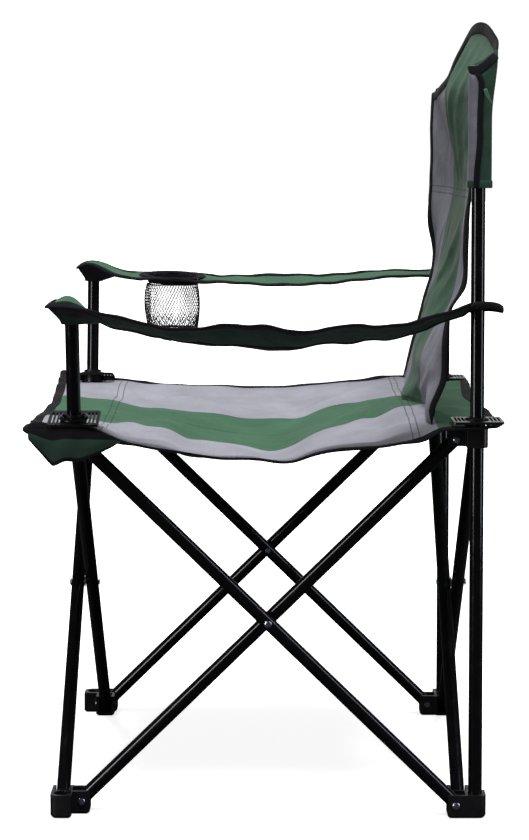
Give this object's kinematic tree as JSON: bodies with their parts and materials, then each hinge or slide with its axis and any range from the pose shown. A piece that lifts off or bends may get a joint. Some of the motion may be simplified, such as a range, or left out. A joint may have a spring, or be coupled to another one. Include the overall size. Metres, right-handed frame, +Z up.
{
  "type": "folding camp chair",
  "caption": "Folding camp chair: crossing steel tubes on plastic feet, a striped fabric seat and back, fabric arms and a net cup holder.",
  "frame": {"origin": "on the floor, under the middle of the chair", "axes": "+Z up; the sitter looks along -Y, so +X is the sitter's left"},
  "size_m": [0.621, 0.549, 0.9193],
  "materials": {
    "tube_enamel": "gloss",
    "casting_plastic": "satin",
    "plate_plastic": "gloss",
    "rivet_steel": "satin",
    "seat_fabric": "matte",
    "arm_fabric": "matte",
    "netting": "matte"
  },
  "bodies": {
    "root": {"rear_left_foot": "casting_plastic", "rear_left_foot_side_pin": "rivet_steel", "rear_left_foot_cross_pin": "rivet_steel", "left_upright": "tube_enamel", "left_upright_cap": "casting_plastic", "left_sleeve": "arm_fabric", "back": "seat_fabric"},
    "rear_inner": {"rear_inner_tube": "tube_enamel"},
    "rear_outer": {"rear_outer_tube": "tube_enamel", "rear_rivet": "rivet_steel", "rear_spacer": "rivet_steel"},
    "rear_right_slide": {"rear_right_slider": "casting_plastic", "rear_right_slider_side_pin": "rivet_steel", "rear_right_slider_cross_pin": "rivet_steel", "rear_right_plate": "plate_plastic"},
    "rear_left_slide": {"rear_left_slider": "casting_plastic", "rear_left_slider_side_pin": "rivet_steel", "rear_left_slider_cross_pin": "rivet_steel", "rear_left_plate": "plate_plastic"},
    "rear_right_leg": {"rear_right_foot": "casting_plastic", "rear_right_foot_side_pin": "rivet_steel", "rear_right_foot_cross_pin": "rivet_steel", "right_upright": "tube_enamel", "right_upright_cap": "casting_plastic", "right_sleeve": "arm_fabric"},
    "left_outer": {"left_outer_tube": "tube_enamel", "left_rivet": "rivet_steel", "left_spacer": "rivet_steel"},
    "left_inner": {"left_inner_tube": "tube_enamel"},
    "front_left_top": {"front_left_bracket": "casting_plastic", "front_left_bracket_side_pin": "rivet_steel", "front_left_bracket_cross_pin": "rivet_steel", "front_left_plate": "plate_plastic", "left_arm_post": "tube_enamel"},
    "front_left_base": {"front_left_foot": "casting_plastic", "front_left_foot_side_pin": "rivet_steel", "front_left_foot_cross_pin": "rivet_steel"},
    "front_outer": {"front_outer_tube": "tube_enamel", "front_rivet": "rivet_steel", "front_spacer": "rivet_steel"},
    "front_inner": {"front_inner_tube": "tube_enamel"},
    "front_right_top": {"front_right_bracket": "casting_plastic", "front_right_bracket_side_pin": "rivet_steel", "front_right_bracket_cross_pin": "rivet_steel", "front_right_plate": "plate_plastic", "right_arm_post": "tube_enamel"},
    "front_right_base": {"front_right_foot": "casting_plastic", "front_right_foot_side_pin": "rivet_steel", "front_right_foot_cross_pin": "rivet_steel"},
    "right_inner": {"right_inner_tube": "tube_enamel"},
    "right_outer": {"right_outer_tube": "tube_enamel", "right_rivet": "rivet_steel", "right_spacer": "rivet_steel"},
    "seat_left_half": {"seat_left": "seat_fabric"},
    "seat_right_half": {"seat_right": "seat_fabric"},
    "left_arm_fore": {"left_arm_front": "arm_fabric"},
    "left_arm_aft": {"left_arm_rear": "arm_fabric"},
    "right_arm_fore": {"right_arm_front": "arm_fabric", "cup_holder": "netting"},
    "right_arm_aft": {"right_arm_rear": "arm_fabric"}
  },
  "joints": [
    {"name": "fold", "type": "hinge", "parent": "root", "child": "rear_inner", "pos_m": [0.2155, 0.2205, 0.015], "axis": [0, 1, 0], "range_deg": [0, 39.7], "deforming": ["seat_left", "seat_right", "back", "left_arm_front", "left_arm_rear", "right_arm_front", "right_arm_rear", "cup_holder"]},
    {"name": "rear_cross", "type": "hinge", "parent": "rear_inner", "child": "rear_outer", "pos_m": [0, 0.238, 0.225], "axis": [0, 1, 0], "range_deg": [-79.41, 0]},
    {"name": "rear_right_slider_pivot", "type": "hinge", "parent": "rear_inner", "child": "rear_right_slide", "pos_m": [-0.2155, 0.2205, 0.435], "axis": [0, 1, 0], "range_deg": [-39.71, 0]},
    {"name": "rear_left_slider_pivot", "type": "hinge", "parent": "rear_outer", "child": "rear_left_slide", "pos_m": [0.2155, 0.238, 0.435], "axis": [0, 1, 0], "range_deg": [0, 39.71]},
    {"name": "rear_right_foot_pivot", "type": "hinge", "parent": "rear_outer", "child": "rear_right_leg", "pos_m": [-0.2155, 0.238, 0.015], "axis": [0, 1, 0], "range_deg": [0, 39.71]},
    {"name": "left_foot_pivot", "type": "hinge", "parent": "root", "child": "left_outer", "pos_m": [0.238, 0.2155, 0.015], "axis": [-1, 0, 0], "range_deg": [0, 39.71]},
    {"name": "left_cross", "type": "hinge", "parent": "left_outer", "child": "left_inner", "pos_m": [0.238, 0, 0.225], "axis": [-1, 0, 0], "range_deg": [-79.41, 0]},
    {"name": "front_left_bracket_pivot", "type": "hinge", "parent": "left_outer", "child": "front_left_top", "pos_m": [0.238, -0.2155, 0.435], "axis": [-1, 0, 0], "range_deg": [-39.71, 0]},
    {"name": "front_left_foot_pivot", "type": "hinge", "parent": "left_inner", "child": "front_left_base", "pos_m": [0.2205, -0.2155, 0.015], "axis": [-1, 0, 0], "range_deg": [0, 39.71]},
    {"name": "front_foot_pivot", "type": "hinge", "parent": "front_left_base", "child": "front_outer", "pos_m": [0.2155, -0.238, 0.015], "axis": [0, 1, 0], "range_deg": [0, 39.71]},
    {"name": "front_cross", "type": "hinge", "parent": "front_outer", "child": "front_inner", "pos_m": [0, -0.238, 0.225], "axis": [0, 1, 0], "range_deg": [-79.41, 0]},
    {"name": "front_right_bracket_pivot", "type": "hinge", "parent": "front_outer", "child": "front_right_top", "pos_m": [-0.2155, -0.238, 0.435], "axis": [0, 1, 0], "range_deg": [-39.71, 0]},
    {"name": "front_right_foot_pivot", "type": "hinge", "parent": "front_inner", "child": "front_right_base", "pos_m": [-0.2155, -0.2205, 0.015], "axis": [0, 1, 0], "range_deg": [0, 39.71]},
    {"name": "right_foot_pivot", "type": "hinge", "parent": "rear_right_leg", "child": "right_inner", "pos_m": [-0.2205, 0.2155, 0.015], "axis": [-1, 0, 0], "range_deg": [0, 39.71]},
    {"name": "right_cross", "type": "hinge", "parent": "right_inner", "child": "right_outer", "pos_m": [-0.238, 0, 0.225], "axis": [-1, 0, 0], "range_deg": [-79.41, 0]},
    {"name": "left_seat_fold", "type": "hinge", "parent": "front_left_top", "child": "seat_left_half", "pos_m": [0.222, 0, 0.453], "axis": [0, -1, 0], "range_deg": [0, 78.01]},
    {"name": "right_seat_fold", "type": "hinge", "parent": "front_right_top", "child": "seat_right_half", "pos_m": [-0.222, 0, 0.453], "axis": [0, 1, 0], "range_deg": [0, 78.01]},
    {"name": "left_arm_drop", "type": "hinge", "parent": "front_left_top", "child": "left_arm_fore", "pos_m": [0.2745, -0.2205, 0.6005], "axis": [-1, 0, 0], "range_deg": [0, 81.2]},
    {"name": "left_arm_bend", "type": "hinge", "parent": "left_arm_fore", "child": "left_arm_aft", "pos_m": [0.2745, 0.0895, 0.56109], "axis": [1, 0, 0], "range_deg": [0, 129.3]},
    {"name": "right_arm_drop", "type": "hinge", "parent": "front_right_top", "child": "right_arm_fore", "pos_m": [-0.2745, -0.238, 0.6005], "axis": [-1, 0, 0], "range_deg": [0, 76.94]},
    {"name": "right_arm_bend", "type": "hinge", "parent": "right_arm_fore", "child": "right_arm_aft", "pos_m": [-0.2745, 0.0895, 0.58168], "axis": [1, 0, 0], "range_deg": [0, 146.3]}
  ],
  "couplings": [
    {"joint": "rear_cross", "follows": "fold", "ratio": -2},
    {"joint": "rear_right_slider_pivot", "follows": "fold", "ratio": -1},
    {"joint": "rear_left_slider_pivot", "follows": "fold", "ratio": 1},
    {"joint": "rear_right_foot_pivot", "follows": "fold", "ratio": 1},
    {"joint": "left_foot_pivot", "follows": "fold", "ratio": 1},
    {"joint": "left_cross", "follows": "fold", "ratio": -2},
    {"joint": "front_left_bracket_pivot", "follows": "fold", "ratio": -1},
    {"joint": "front_left_foot_pivot", "follows": "fold", "ratio": 1},
    {"joint": "front_foot_pivot", "follows": "fold", "ratio": 1},
    {"joint": "front_cross", "follows": "fold", "ratio": -2},
    {"joint": "front_right_bracket_pivot", "follows": "fold", "ratio": -1},
    {"joint": "front_right_foot_pivot", "follows": "fold", "ratio": 1},
    {"joint": "right_foot_pivot", "follows": "fold", "ratio": 1},
    {"joint": "right_cross", "follows": "fold", "ratio": -2},
    {"joint": "left_seat_fold", "follows": "fold", "ratio": 1.9647},
    {"joint": "right_seat_fold", "follows": "fold", "ratio": 1.9647},
    {"joint": "left_arm_drop", "follows": "fold", "ratio": 2.0452},
    {"joint": "left_arm_bend", "follows": "fold", "ratio": 3.2566},
    {"joint": "right_arm_drop", "follows": "fold", "ratio": 1.9377},
    {"joint": "right_arm_bend", "follows": "fold", "ratio": 3.6849}
  ]
}
